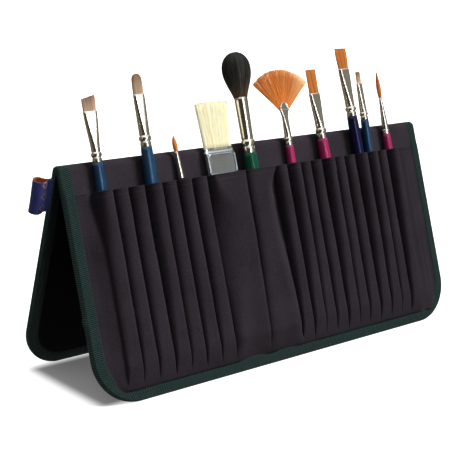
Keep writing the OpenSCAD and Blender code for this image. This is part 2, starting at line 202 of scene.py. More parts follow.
# ---------- materials ----------
class Nodes:
    """A node tree being built."""

    def __init__(self, tree):
        self.t = tree
        self.link = tree.links.new

    def fill(self, socket, value):
        if hasattr(value, "is_output"):
            self.link(value, socket)
        else:
            socket.default_value = value

    def node(self, kind, **inputs):
        n = self.t.nodes.new(kind)
        for key, value in inputs.items():
            name = key.replace("_", " ")
            if name in n.inputs:
                self.fill(n.inputs[name], value)
            else:
                setattr(n, key, value)
        return n

    def math(self, operation, a, b=0.0):
        n = self.node("ShaderNodeMath", operation=operation)
        self.fill(n.inputs[0], a)
        self.fill(n.inputs[1], b)
        return n.outputs[0]

    def mix(self, factor, a, b):
        """Colour a where the factor is 0, b where it is 1."""
        n = self.node("ShaderNodeMix", data_type="RGBA")
        self.link(factor, n.inputs["Factor"])
        self.fill(n.inputs[6], a)
        self.fill(n.inputs[7], b)
        return n.outputs[2]

    def ramp(self, factor, stops):
        n = self.t.nodes.new("ShaderNodeValToRGB")
        self.link(factor, n.inputs[0])
        e = n.color_ramp.elements
        while len(e) < len(stops):
            e.new(0.5)
        for element, (at, colour) in zip(e, stops):
            element.position = at
            element.color = (*colour, 1)
        return n.outputs[0]


class Mat(Nodes):
    """A material being built."""

    def __init__(self, name, roughness, **sockets):
        self.m = bpy.data.materials.new(name)
        self.m.use_nodes = True
        super().__init__(self.m.node_tree)
        self.b = self.t.nodes["Principled BSDF"].inputs
        for key, value in {"Roughness": roughness, **sockets}.items():
            self.b[key.replace("_", " ")].default_value = value
        self.coord = self.t.nodes.new("ShaderNodeTexCoord").outputs["Object"]

    def shade(self):
        """The shade that add_mesh stored."""
        return self.node("ShaderNodeAttribute", attribute_name="shade").outputs["Fac"]

    def noise(self, scale, detail=3.0, stretch=(1, 1, 1)):
        m = self.node("ShaderNodeMapping", Vector=self.coord, Scale=stretch)
        return self.node("ShaderNodeTexNoise", Vector=m.outputs[0], Scale=scale, Detail=detail).outputs["Fac"]

    def wave(self, period, direction, rotation=(0, 0, 0)):
        m = self.node("ShaderNodeMapping", Vector=self.coord, Rotation=rotation)
        n = self.node("ShaderNodeTexWave", Vector=m.outputs[0], Scale=2 * math.pi / period / 20,
                      Distortion=0.0)
        n.wave_type, n.bands_direction, n.wave_profile = "BANDS", direction, "SIN"
        return n.outputs["Fac"]

    def bump(self, height, distance):
        n = self.node("ShaderNodeBump", Height=height, Distance=distance, Strength=1.0)
        self.link(n.outputs[0], self.b["Normal"])

    def tones(self, factor, *stops):
        """Base colour from a ramp."""
        out = self.ramp(factor, stops)
        self.link(out, self.b["Base Color"])
        return out

    def woven(self):
        """Ribbon threads; the last thing done to a ribbon's material."""
        self.bump(self.math("MULTIPLY", self.wave(0.0006, "Z"), self.wave(0.0005, "X")), 0.00006)
        return self.m


def scaled(colour, k):
    return tuple(min(c * k, 1.0) for c in colour)


def cloth_material(name, colour, thread=0.00055, vary=0.36):
    """Plain-woven cloth: threads both ways, lint and slow changes of tone."""
    m = Mat(name, 0.88, Sheen_Weight=0.03, Sheen_Roughness=0.5, Sheen_Tint=(*scaled(colour, 6), 1),
            Specular_IOR_Level=0.05)
    warp, weft = (m.wave(thread, axis, (LEAN, 0, 0)) for axis in "XZ")
    weave = m.math("MAXIMUM", m.math("MULTIPLY", warp, weft),
                   m.math("MULTIPLY", m.math("SUBTRACT", 1.0, warp), m.math("SUBTRACT", 1.0, weft)))
    slow, lint = m.noise(38, 3), m.noise(1150, 2)
    tone = m.math("ADD", m.math("MULTIPLY", slow, 0.35), m.math("MULTIPLY", lint, 0.65))
    m.tones(tone, (0.3, scaled(colour, 1 - vary)), (0.7, scaled(colour, 1 + vary)))
    m.bump(m.math("ADD", m.math("MULTIPLY", weave, 0.7), m.math("MULTIPLY", lint, 0.5)), 0.0001)
    return m.m


def lacquer_material(name, colour, coat_rough, coat):
    m = Mat(name, 0.45, Specular_IOR_Level=0.15, Coat_Weight=coat, Coat_Roughness=coat_rough)
    m.tones(m.noise(90, 3, (1, 1, 0.3)), (0.3, scaled(colour, 0.85)), (0.7, scaled(colour, 1.15)))
    m.bump(m.noise(160, 2, (1, 1, 0.4)), 0.00004)
    return m.m


def metal_material(name, colour, rough, brushed=0.0):
    m = Mat(name, rough, Metallic=1.0)
    m.tones(m.noise(240, 3), (0.3, scaled(colour, 0.92)), (0.7, colour))
    fine = m.noise(900, 3, (1, 1, 0.08) if brushed else (1, 1, 1))
    m.link(m.math("ADD", rough, m.math("MULTIPLY", fine, 0.06 + brushed)), m.b["Roughness"])
    m.bump(fine, 0.00001 + 0.00002 * brushed)
    return m.m


def hair_material(name, dark, mid, light, rough=0.6, gloss=0.0, painted_glow=0.0):
    """Hair whose tone changes from strand to strand and from root to tip."""
    m = Mat(name, rough, Specular_IOR_Level=gloss)
    tone = m.tones(m.shade(), (0.05, dark), (0.5, mid), (0.95, light))
    # painted light: a glow in the hair's own tone, for hair that is given one
    if painted_glow:
        m.link(tone, m.b["Emission Color"])
        m.b["Emission Strength"].default_value = painted_glow
    m.bump(m.noise(5000, 1, (1, 1, 0.1)), 0.00002)
    return m.m


def tape_material():
    """Green ribbed tape, with painted light: a painted highlight along the ribs, and painted shade, nearly
    black, between them.
    """
    m = Mat("binding_green_ribbed", 0.8, Specular_IOR_Level=0.2)
    tone = m.math("ADD", m.math("MULTIPLY", m.shade(), 0.8), m.math("MULTIPLY", m.noise(900, 3), 0.35))
    m.tones(tone, (0.2, (0.0012, 0.0034, 0.0032)), (0.6, (0.0036, 0.0096, 0.0088)),
            (1.0, (0.046, 0.090, 0.080)))
    m.bump(m.noise(3500, 2), 0.00004)
    return m.m


def grained_material(name, roughness, grain, dark, light, bump, depth):
    m = Mat(name, roughness)
    m.tones(m.noise(*grain), (0.3, dark), (0.7, light))
    m.bump(m.noise(*bump), depth)
    return m.m


CLOTH = (0.0350, 0.0290, 0.0352)
GRAIN = (260, 5, (1, 1, 0.06))
MATS = {
    "cover": cloth_material("cover_black_cloth", (0.004, 0.004, 0.006), vary=0.2),
    "lining": cloth_material("lining_charcoal_cloth", CLOTH),
    "pocket": cloth_material("pocket_charcoal_cloth", scaled(CLOTH, 0.74)),
    "tape": tape_material(),
    "thread": cloth_material("thread_green_grey", (0.045, 0.062, 0.058), thread=0.0003, vary=0.2),
    "hem_thread": cloth_material("thread_charcoal", (0.06, 0.048, 0.056), thread=0.0003, vary=0.2),
    "blue": lacquer_material("lacquer_petrol_blue", (0.0015, 0.036, 0.092), 0.36, 0.7),
    "navy": lacquer_material("lacquer_navy", (0.001, 0.003, 0.034), 0.05, 0.22),
    "green": lacquer_material("lacquer_green", (0.0, 0.072, 0.034), 0.05, 0.22),
    "magenta": lacquer_material("lacquer_magenta", (0.34, 0.008, 0.095), 0.36, 0.9),
    "metal": metal_material("nickel_ferrule", (0.80, 0.765, 0.69), 0.1),
    "steel": metal_material("steel_ferrule", (0.68, 0.74, 0.80), 0.14, 0.1),
    "taupe": hair_material("hair_taupe", (0.26, 0.145, 0.085), (0.64, 0.44, 0.30), (0.92, 0.68, 0.50)),
    "amber": hair_material("hair_amber", (0.33, 0.085, 0.012), (0.74, 0.26, 0.06), (0.98, 0.50, 0.17)),
    "fan": hair_material("hair_fan_amber", (0.60, 0.15, 0.020), (0.92, 0.31, 0.065), (1.0, 0.62, 0.30)),
    # a slight glow stands for the light that scatters through pale bristle
    "cream": hair_material("bristle_cream", (0.80, 0.64, 0.32), (0.98, 0.92, 0.60), (1.0, 0.98, 0.78),
                           painted_glow=0.09),
    "dark": hair_material("hair_dark", (0.018, 0.020, 0.018), (0.042, 0.044, 0.038), (0.17, 0.10, 0.065),
                          rough=0.45, gloss=0.35),
    "board": grained_material("grey_board", 0.85, (400, 4), (0.20, 0.16, 0.11), (0.30, 0.25, 0.18),
                              (2500, 3), 0.00004),
    "wood": grained_material("pale_wood", 0.45, GRAIN, (0.36, 0.22, 0.10), (0.56, 0.39, 0.20), GRAIN,
                             0.00005),
}


# ---------- camera, floor and light ----------
def camera():
    """The photo's viewpoint, as fitted to the case's edges."""
    data = bpy.data.cameras.new("camera")
    cam = add_object("camera", data)
    yaw, pitch, roll = (math.radians(a) for a in (40.274, 13.741, 1.079))
    turn = (Matrix.Rotation(-yaw, 4, "Z") @ Matrix.Rotation(math.pi / 2 - pitch, 4, "X")
            @ Matrix.Rotation(roll, 4, "Z"))
    cam.matrix_world = Matrix.Translation((MID_X * MM - 0.6407, -0.7193, 0.3353)) @ turn
    data.sensor_width, data.lens = 36.0, 95.26
    data.clip_start, data.clip_end = 0.01, 50.0
    bpy.context.scene.camera = cam


def studio():
    """White surroundings, a window in front of the case, dark on its left, soft sun from the right."""
    scene = bpy.context.scene
    scene.view_settings.view_transform = "Standard"
    scene.world = bpy.data.worlds.new("studio")
    scene.world.use_nodes = True
    w = Nodes(scene.world.node_tree)
    direction = w.node("ShaderNodeTexCoord").outputs["Generated"]
    x, y, z = w.node("ShaderNodeSeparateXYZ", Vector=direction).outputs
    # what shiny surfaces see, by direction: degrees to the right of straight in front
    back, olive = (0.5, 0.48, 0.42), (0.17, 0.15, 0.115)
    brown, dim = (0.055, 0.045, 0.035), (0.10, 0.09, 0.07)
    window, strip = (1.4, 1.4, 1.4), (18.0, 18.0, 18.0)
    stops = [(-180, back), (-160, olive), (-90, olive), (-78, brown), (-22, brown), (-12, window),
             (-5.5, window), (-4.5, strip), (-1.5, strip), (-0.5, window), (10, window),
             (19, (0.20, 0.19, 0.16)), (58, (0.27, 0.26, 0.23)), (74, dim), (122, dim),
             (140, (0.7, 0.7, 0.7)), (180, back)]
    turn = w.math("ARCTAN2", x, w.math("MULTIPLY", y, -1.0))
    around = w.ramp(w.math("ADD", w.math("DIVIDE", turn, 2 * math.pi), 0.5),
                    [(degrees / 360 + 0.5, colour) for degrees, colour in stops])
    high = w.node("ShaderNodeMapRange", Value=z, From_Min=0.5, From_Max=0.9).outputs["Result"]
    shiny = w.mix(high, around, (1.3, 1.3, 1.3, 1))
    # light for everything else: more from above and from the right
    soft = w.math("ADD", w.math("ADD", w.math("MULTIPLY", x, 0.05), w.math("MULTIPLY", z, 0.24)), 0.23)
    path = w.node("ShaderNodeLightPath").outputs
    light = w.mix(path["Is Glossy Ray"], soft, shiny)
    background = w.t.nodes["Background"].inputs
    w.link(w.mix(path["Is Camera Ray"], light, (1, 1, 1, 1)), background["Color"])
    background["Strength"].default_value = 1.0

    data = bpy.data.lights.new("sun", "SUN")
    data.energy, data.angle = 3.9, math.radians(26)
    sun = add_object("sun", data)
    sun.visible_glossy = False
    sun.rotation_euler = Vector((-0.53, 0.51, -0.68)).to_track_quat("-Z", "Y").to_euler()

    floor = Mat("floor_white", 0.8, Specular_IOR_Level=0.0, Emission_Strength=0.9)
    floor.tones(floor.noise(30, 2), (0.3, (0.79, 0.79, 0.79)), (0.7, (0.81, 0.81, 0.81)))
    # painted light and shadow: the floor glows, brighter away from the case, and its dim glow close to the
    # case paints only a short soft shadow round its feet
    where = floor.node("ShaderNodeSeparateXYZ", Vector=floor.coord).outputs
    squares = []
    for axis, middle, half in ((0, MID_X, WIDTH / 2 - 12), (1, MID_Y, LENGTH * SIN - 9)):
        side = floor.math("ABSOLUTE", floor.math("SUBTRACT", where[axis], middle * MM))
        away = floor.math("MAXIMUM", floor.math("SUBTRACT", side, half * MM), 0.0)
        squares.append(floor.math("POWER", away, 2.0))
    far = floor.math("SQRT", floor.math("ADD", *squares))
    # painted shadow near the case, painted light further out
    painted_glow = floor.ramp(floor.math("DIVIDE", far, 0.015), [(0.0, (0.09, 0.09, 0.09)), (1.0, (1, 1, 1))])
    painted_glow.node.color_ramp.interpolation = "EASE"
    floor.link(painted_glow, floor.b["Emission Color"])
    half = 12.0
    corners = [(-half, -half, 0), (half, -half, 0), (half, half, 0), (-half, half, 0)]
    obj = add_mesh("floor", corners, [(0, 1, 2, 3)], floor.m)
    obj.visible_diffuse = obj.visible_glossy = False
    obj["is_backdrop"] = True


camera()
studio()

# ---------- pocket cloth ----------
SEAMS = [13.0, *(22.5 + 15.0 * i for i in range(8)), 163.0, *(199 + 13.3 * i for i in range(12)), 371.5]
FIRST, MOP, WIDE, LAST = 0, 8, 9, 21     # the pockets with a shape of their own
HOLDS = (1, 4, 11, 14, 17, 18, 20)       # the other pockets that hold a brush
# how far each pocket stands out at its mouth
BULGES = [12.4 if j in HOLDS else 9.6 for j in range(LAST + 1)]
BULGES[FIRST], BULGES[MOP], BULGES[WIDE], BULGES[LAST] = 0.8, 12.4, 14.4, 1.6
HANDLE_FOOT = 6.5                    # how far a pocket stands out over its handle's end
POCKET_T = 0.8
SIDE = 5.0                           # from the panel's edge to the pocket cloth's


def seam_line(i, s):
    """A seam's place along the ridge, which wanders a little on its way down."""
    return SEAMS[i] + 0.5 * ripple(s, 100 + i, 0.05) * np.clip((s - MOUTH) / 20, 0, 1)


def pocket_height(j, s):
    """How far a pocket stands out: over its handle's taper, then down to the foot seam."""
    down = np.clip((s - MOUTH) / HANDLE_DEPTH, 0, 1)
    if j in HOLDS:
        tall = HANDLE_FOOT + (BULGES[j] - HANDLE_FOOT) * (1 - down ** 1.25)
    else:
        tall = BULGES[j] * (1 - 0.42 * down ** 1.3) * (1 + 0.05 * ripple(s, 200 + j, 0.04))
    last = np.clip((POCKET_FOOT - 0.3 - s) / 18.0, 0, 1)
    return tall * (0.08 + 0.92 * last ** 0.72)


def loosening(s):
    """The narrow first pocket comes off the lining by degrees below its mouth."""
    return ease((s - 24) / 42)


def seam_level(i, s, low):
    """How far the cloth still stands out over a seam: its pleat closes just above the foot."""
    closing = ease((s - 155.0) / 8.0)
    if i == FIRST:
        return 0.12 * pocket_height(1, s) * loosening(s)
    if i == FIRST + 1:
        start = 0.55 * loosening(s)
        return pocket_height(1, s) * (start + (1 - start) * closing)
    if i == LAST + 1:
        return 0.3 + 0 * s
    held = {WIDE: 0.74, LAST: 0.6}.get(i, 0.0)
    return low * (held + (1 - held) * closing)


def flank(share, fullness):
    """A pocket's side, from its seam (share 0) to its full height (1)."""
    share = np.clip(share, 0, 1)
    return (1 - (1 - share) ** fullness) ** (1 / fullness)


def pocket_profile(j, x, a, b, s):
    """Height of pocket j's cloth at x between its seams a and b."""
    tall = pocket_height(j, s)
    low_a = np.minimum(tall, pocket_height(j - 1, s)) if j > FIRST else tall
    low_b = np.minimum(tall, pocket_height(j + 1, s)) if j < LAST else tall
    level_a, level_b = seam_level(j, s, low_a), seam_level(j + 1, s, low_b)
    t = (x - a) / (b - a)
    level = level_a + (level_b - level_a) * t
    if j == FIRST:
        return level + 0.7 * np.sin(math.pi * t) * (1 - loosening(s))
    if j == LAST:
        return level + 0.9 * np.sin(math.pi * t) ** 2
    down = np.clip((s - MOUTH) / 143.0, 0, 1)
    width = (1 - 0.22 * down - 0.68 * down ** 3) * (b - a) / 2
    width = width * (1 + 0.08 * ripple(s, 400 + j, 0.05))
    left = right = np.maximum(width, 0.9)
    full_a = full_b = 2.3
    if j == MOP:
        opening = ease((s - 20) / 35) * (1 - 0.85 * ease((s - 70) / 80))
        left, right = 5.0 + 18.0 * opening, 5.0
        full_a = 2.3 - 0.75 * opening
    if j == WIDE:
        opening = ease((s - 14) / 22) * (1 - 0.9 * ease((s - 55) / 95))
        left, right = 6.0, 9.0 + 11.0 * opening
    rise_a, rise_b = flank((x - a) / left, full_a), flank((b - x) / right, full_b)
    if j == WIDE:
        # a wide hollow lies beside the mop's pocket on its right
        rise_b = rise_b + (ease((b - x - 1.5) / right) - rise_b) * opening
    if j in (MOP, WIDE):
        rise = np.minimum(rise_a, rise_b)
    else:
        rise = np.where(x - a < b - x, rise_a, rise_b)
    dome = 1 - 0.05 * (2 * t - 1) ** 2
    return level + np.maximum(tall * dome - level, 0) * rise


def pocket_cloth():
    """A grid of places on the pleated cloth, as x, s and n for place()."""
    s = np.array([MOUTH, MOUTH + 0.35, MOUTH + 1.0, *np.linspace(MOUTH + 2.4, POCKET_FOOT, 92)])[:, None]
    zero = np.zeros_like(s)
    xs, ns = [], []
    for x in np.linspace(SIDE, SEAMS[0], 6)[:-1]:
        xs.append(zero + x)
        ns.append(seam_level(0, s, zero) * (x - SIDE) / 8.0 + 0.2)
    for j in range(len(SEAMS) - 1):
        a, b = seam_line(j, s), seam_line(j + 1, s)
        count = {FIRST: 7, MOP: 40, WIDE: 40, LAST: 18}.get(j, 19)
        k = np.arange(count)[None, :] / count
        t = k if j in (FIRST, LAST) else 0.5 - 0.5 * np.cos(math.pi * k)
        x = a + (b - a) * t
        n = pocket_profile(j, x, a, b, s)
        if j in (MOP, WIDE):
            sag = np.sin(math.pi * t) ** 2 * ease((s - 60) / 60)
            n = n - 1.3 * sag * (1 + ripple(s, 310 + j, 0.04))
        # the pleats lie over a little to the right on their way down
        xs.append(x + 0.10 * n * ease((s - 45) / 60))
        ns.append(n + 0.2)
    for x in np.linspace(SEAMS[-1], WIDTH - SIDE, 5):
        xs.append(zero + x)
        ns.append(zero + 0.5 - 0.3 * (x - SEAMS[-1]) / 3.5)
    x, n = np.concatenate(xs, 1), np.concatenate(ns, 1)
    s = np.broadcast_to(s, x.shape)
    # small creases in the cloth
    creases = ripple(x * 0.35 + 0.3 * s, 7, 1.0) + ripple(s * 0.4 - 0.2 * x, 8, 1.0)
    n = n + 0.10 * creases + 0.1
    # short loose pleats in the flat end of the cloth
    for middle, top, foot, deep in ((354.5, 20, 150, 0.5), (360.5, 30, 154, 0.45), (368.0, 96, 150, 1.3)):
        run = ease((s - top) / 12) * ease((foot - s) / 12)
        n = n - deep * np.exp(-((x - middle) / 0.9) ** 2) * run
    # keep inside the panel's round corners, under the binding
    low, high = SIDE + inset(s), WIDTH - SIDE - inset(s)
    edge = np.clip(np.minimum(x - low, high - x), 0, None)
    n = np.maximum(n, 0.12) * np.clip(edge / 8.0, 0.02, 1) ** 0.6
    return np.clip(x, low, high), s, FACE + POCKET_T + n


pocket_grid = pocket_cloth()
pocket_points = place(*pocket_grid)
pocket_normals = normals_of(pocket_points)
pockets = thick_sheet("pocket_cloth", pocket_points, POCKET_T, MATS["pocket"])
belongs(pockets, "front_panel", "pocket_cloth", "left_pockets", "middle_pockets", "right_pockets")


# ---------- hem and stitches ----------
def tube(name, points, radius, sides, material):
    """A closed tube along a line of points."""
    t = unit(np.gradient(points, axis=0))
    a = unit(np.cross(t, [0.0, 0.0, 1.0] if abs(t[0][2]) < 0.8 else [1.0, 0.0, 0.0]))
    b = np.cross(t, a)
    cos, sin = (c[:, None] for c in circle(sides))
    rings = points[:, None] + radius * (cos * a[:, None] + sin * b[:, None])
    return add_mesh(name, rings, tube_faces(len(points), sides), material)


def stitches(name, centres, directions, normals, length, thick, material):
    """A row of short thread stitches, each a small spindle that dips into the cloth at its ends."""
    # at five places along the stitch: the place, the radius and the height over the cloth
    along, radius, lift = np.array([(-0.5, -0.3, 0.0, 0.3, 0.5), (0.25, 0.8, 1.0, 0.8, 0.25),
                                    (-0.6, 0.2, 0.45, 0.2, -0.6)])[:, :, None, None]
    d, n = unit(directions), unit(normals)
    d, n, w = (v[:, None, None] for v in (d, n, np.cross(d, n)))
    sides = 6
    cos, sin = (c[:, None] for c in circle(sides))
    rings = (centres[:, None, None] + along * length * d + (lift + radius * sin) * thick * n
             + radius * cos * thick * w)
    return add_mesh(name, rings, tube_faces(len(along), sides, len(centres)), material)


# the hem's stitches: places a step apart along one row of the pocket cloth's grid
row = np.argmin(np.abs(pocket_grid[1][:, 0] - (MOUTH + 4.0)))
line, step, skip = pocket_points[row], 0.0026, 0.004
along = np.concatenate([[0], np.cumsum(np.linalg.norm(np.diff(line, axis=0), axis=1))])
at = np.arange(skip, along[-1] - skip, step)
centres, ahead, before, outwards = (
    np.stack([np.interp(where, along, values[:, k]) for k in range(3)], 1)
    for where, values in ((at, line), (at + step * 0.4, line), (at - step * 0.4, line),
                          (at, pocket_normals[row])))
hem_stitches = stitches("pocket_hem_stitches", centres, ahead - before, outwards, 0.0019, 0.00016,
                        MATS["hem_thread"])
# the folded hem along the mouths: a soft roll on the cloth's upper edge
hem = tube("pocket_hem", pocket_points[1] - pocket_normals[1] * POCKET_T * 0.5 * MM, 0.00062, 8,
           MATS["pocket"])
for obj in (hem_stitches, hem):
    belongs(obj, "front_panel", "pocket_cloth")


# ---------- lining over the fold, and the cover inside it ----------
def cloth_over_fold(name, n, columns, rows, material, thickness, waves):
    """One sheet from foot to foot, with a slight crease along the ridge if it waves."""
    reach = LENGTH + FOLD_HALF - 0.4
    down = np.linspace(FOLD_HALF + 0.5, reach, rows)
    v = np.concatenate([-down[::-1], np.linspace(-FOLD_HALF, FOLD_HALF, 13), down])[:, None]
    s = np.maximum(np.abs(v) - FOLD_HALF, 0)
    ins = inset(s)
    x = 0.4 + ins + (WIDTH - 0.8 - 2 * ins) * np.linspace(0, 1, columns)
    wave = ripple(x * 0.08 + v * 0.03, 21, 1.0) + ripple(v * 0.12 + x * 0.01, 22, 1.0)
    crease = 0.5 * np.clip(1 - np.abs(v) / 2.5, 0, 1) if waves else 0
    turn = np.minimum(np.abs(v) / FOLD_HALF, 1) * FOLD_ARC
    pts = place(x, s, n + waves * wave + crease, np.where(v < 0, 1, -1), turn)
    return thick_sheet(name, pts, thickness, material)


lining = cloth_over_fold("lining_cloth", FACE, 150, 60, MATS["lining"], 0.5, 0.12)
belongs(lining, "both", "lining_cloth", "front_lining", "back_lining", "ridge_cloth")
cover = cloth_over_fold("cover_cloth", COVER_IN + 0.02, 90, 50, MATS["cover"], -0.6, 0.0)
belongs(cover, "both", "cover_cloth", "front_cover", "back_cover", "cover_fold")

# ---------- binding tape ----------
RIB = 1.6                            # pitch of the tape's ribs
STEP = RIB / 4
TURN = 5.2                           # radius at which the tape goes over the fold


def tape_path():
    """Stations along one panel's bound edge, each with the place, the direction inwards, and the angle
    that is left to the fold's top."""
    side = np.arange(0, LENGTH - CORNER, STEP)
    arc = np.arange(0, FOLD_ARC * TURN, STEP)
    corner = [(math.cos(q), math.sin(q)) for q in np.arange(0, CORNER * math.pi / 2, STEP) / CORNER]
    low = LENGTH - CORNER
    out = [(0.0, 0.0, 1.0, 0.0, FOLD_ARC - a / TURN) for a in arc]
    out += [(0.0, s, 1.0, 0.0, 0.0) for s in side]
    out += [(CORNER - CORNER * c, low + CORNER * d, c, -d, 0.0) for c, d in corner]
    out += [(x, LENGTH, 0.0, -1.0, 0.0) for x in np.arange(CORNER, WIDTH - CORNER, STEP)]
    out += [(WIDTH - CORNER + CORNER * d, low + CORNER * c, -d, -c, 0.0) for c, d in corner]
    out += [(WIDTH, s, -1.0, 0.0, 0.0) for s in side[::-1]]
    out += [(WIDTH, 0.0, -1.0, 0.0, FOLD_ARC - a / TURN) for a in arc[::-1]]
    return np.array(out)


def tape_points(path, w, n, side):
    """World points for offsets inwards (w) and outwards (n) at every station."""
    x, s, in_x, in_s, lift = path.T[:, :, None]
    pts = place(x + in_x * w, s + in_s * w, n, side, FOLD_ARC - lift)
    pts[..., 2] = np.maximum(pts[..., 2], 0.0)
    return pts


def binding(name, side, node):
    """The tape round one panel (side 1 is the front), and the stitches in it."""
    path = tape_path()
    k = len(path)
    down = path[:, 1:2]
    run = np.arange(k)[:, None] * STEP
    band = 8.3 + np.clip((down - 120) / 40, 0, 1) + 0.3 * ripple(run, 51 if side > 0 else 52, 0.06)
    # the front tape lies over the pocket cloth, and has a lapped end half way down one side
    rise = 0.75 * np.clip((down - 12) / 6, 0, 1) if side > 0 else 0 * run
    lap = 0.9 * np.exp(-((run - 116.5) / 3.0) ** 4) if side > 0 else 0 * run
    # cross-section: from the band's inner border over the outer face, round the edge, and back underneath
    across = np.array([1.0, 0.99, *np.linspace(0.94, 0.04, 15)])
    border = np.array([0.62, 0.2] + [0.0] * 15)
    edge = [(-0.35, FACE + 0.4), (-0.62, FACE - 0.4), (-0.68, 2.6), (-0.62, 1.3), (-0.35, 0.55)]
    inner = [(0.08, INNER), (0.5, INNER), (0.97, INNER), (1.0, INNER + 0.3), (0.97, COVER_IN - 0.02),
             (0.5, COVER_IN - 0.02), (0.0, COVER_IN), (0.0, FACE - 0.05), (0.5, FACE - 0.05)]
    brick = np.where(np.arange(len(across)) // 3 % 2 == 0, 0.0, math.pi)
    ribs, plain = (0.5 + 0.5 * np.cos(2 * math.pi * run / RIB + phase) for phase in (brick, 0))
    top = FACE + TAPE_T + rise
    # painted light and shade in the shade values: light on the rib crests, dark between them, and the rolled
    # edge painted lighter against the shade it lies in
    sections = [(band * across, top + 0.24 * ribs + 0.15 * lap - border, ribs)]
    sections += [(off - 0.18 * plain - lap, level + 0 * run, 0.4 + 0.9 * plain) for off, level in edge]
    sections += [((band - 0.6) * share, level + 0 * run, 0.7 * plain) for share, level in inner]
    w, n, shade = (np.concatenate(parts, 1) for parts in zip(*sections))
    faces = tube_faces(k, w.shape[1])
    if side > 0:
        faces = [f[::-1] for f in faces]
    obj = add_mesh(name, tape_points(path, w, n, side), faces, MATS["tape"], shade)
    belongs(obj, "both", "binding_tape", node)
    # stitches along the band's inner border
    pick = np.arange(30, k - 30, 7)
    centre, higher = (tape_points(path, band - 0.9, top + out, side)[:, 0] for out in (0.3, 1.3))
    row = stitches(name + "_stitches", centre[pick], (np.roll(centre, -1, 0) - centre)[pick],
                   (higher - centre)[pick], 0.0017, 0.0002, MATS["thread"])
    return obj, belongs(row, "both", "binding_tape")


front_tape, front_row = binding("front_tape", 1, "front_binding")
back_tape, back_row = binding("back_tape", -1, "back_binding")


# ---------- ribbon tag ----------
def ribbon_material():
    """Woven ribbon: blue, with a plain row of small diamonds in gold thread."""
    m = Mat("ribbon_blue_woven", 0.7, Sheen_Weight=0.2)
    x, _, z = m.node("ShaderNodeSeparateXYZ", Vector=m.coord).outputs
    lo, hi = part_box("tag_loop")
    u = m.math("ABSOLUTE", m.math("SUBTRACT", x, (lo.x + hi.x) / 2))
    v = m.math("PINGPONG", m.math("SUBTRACT", z, (lo.z + hi.z) / 2), 0.0045)
    line = m.math("COMPARE", m.math("ADD", u, v), 0.0026)
    line.node.inputs[2].default_value = 0.0004
    base = m.ramp(m.noise(130, 3), [(0.35, (0.013, 0.011, 0.120)), (0.65, (0.007, 0.034, 0.22))])
    m.link(m.mix(line, base, (0.45, 0.20, 0.05, 1)), m.b["Base Color"])
    return m.woven()


def ribbon_inside_material():
    m = Mat("ribbon_orange_woven", 0.75)
    m.tones(m.noise(700, 3), (0.3, (0.30, 0.08, 0.02)), (0.7, (0.50, 0.16, 0.04)))
    return m.woven()


def tag(s0=5.5, width=26.0, reach=16.0, r=5.0, lift=1.2, half=1.3):
    """A ribbon folded into a loop, sewn in under the binding at the back panel's end.

    s0 is the loop's upper edge, reach how far it stands out, r its round end's radius, lift how far
    that is off the middle, and half is half the gap between its two layers where they are sewn.
    """
    centre, root = np.array([reach - r, lift]), np.array([1.2, half])
    under, sewn = root * (1, -1), np.array([-0.4, half])
    gap = root - centre
    tangent = math.acos(r / np.linalg.norm(gap))
    top = math.atan2(gap[1], gap[0]) % (2 * math.pi) - tangent
    low = math.atan2(-half - centre[1], gap[0]) % (2 * math.pi) + tangent - 2 * math.pi
    arc = [centre + r * np.array([math.cos(a), math.sin(a)]) for a in np.linspace(top, low, 41)]
    line = np.array([sewn, root, *(root + (arc[0] - root) * q for q in np.arange(0.15, 1, 0.15)), *arc,
                     *(arc[-1] + (under - arc[-1]) * q for q in np.arange(0.1, 1.01, 0.15)),
                     sewn * (1, -1)])
    line[:, 1] *= 1 - 0.5 * np.exp(-((line[:, 0] - 4.8) / 2.6) ** 2)       # the loop's neck
    out, level = line.T[:, None]
    q = np.linspace(0, 1, 27)[:, None]
    t = np.linspace(0, 1, len(line))
    free = np.clip((out - 1.0) / 6, 0, 1)
    sag = s0 + width * q + free * (0.9 * q * (0.5 - t) + 0.25 * ripple(t * 9, 62, 1.0) * q)
    level = (INNER + FACE) / 2 + level + free * (0.45 * np.sin(2.6 * q + 3 * t) - 0.3)
    pts = place(0.5 * free * np.sin(3 * q + 0.4) * q - out, sag, level, -1)
    n = normals_of(pts) * MM
    outside = sheet_between("ribbon_tag", pts, pts - n * 0.3, ribbon_material())
    inside = sheet_between("ribbon_tag_lining", pts - n * 0.32, pts - n * 0.62, ribbon_inside_material())
    return belongs(outside, "back_panel", "ribbon", "tag_loop"), belongs(inside, "back_panel", "ribbon")


tag_out, tag_in = tag()

# ---------- brushes ----------
BRUSHES = {
    # place along the ridge, lean in degrees, tip height;
    # tuft width and length, ferrule length, handle diameter; for the fan, its reach and its half angle first
    "shader": ((29.6, 1.3, 71.3), (12, 12, 38, 8.4)),
    "filbert": ((74.2, 1.4, 84.3), (10, 16, 40, 10)),
    "round": ((104.4, -1.9, 35.3), (3.8, 12.5, 26, 6.4)),
    "hake": ((144.9, 0, 58.2), (34.6, 37, 22.4, 6)),
    "mop": ((174, 0, 95.4), (22.6, 36.5, 45.5, 12)),
    "fan": ((219.8, 1.8, 79.4), (39, 47.7, 29.2, 7.6)),
    "flat": ((258.2, -0.9, 76.9), (11.2, 20.5, 39, 9.6)),
    "bright": ((298.3, -1.3, 93.1), (14.5, 18, 42, 10)),
    "wash": ((312.8, 1.6, 71.7), (7.5, 10.5, 32, 8)),
    "liner": ((338, 0.6, 72.8), (4.3, 26, 32.5, 7.6)),
}
TURNS = {"shader": -16, "filbert": -15, "wash": 6}       # degrees about the brush's own axis
FAN_SINK = 4.2                       # from the centre of the fan's arc up to its ferrule
SUNK = 1.4                           # how far a flat tuft's hair starts inside its ferrule
COLLAR = 0.43                        # a ferrule's radius at its foot, as a share of the handle's diameter
HAIR_SLOTS = {"taupe": "taupe_hair", "amber": "amber_hair", "fan": "amber_hair", "dark": "dark_hair",
              "cream": "cream_bristle"}


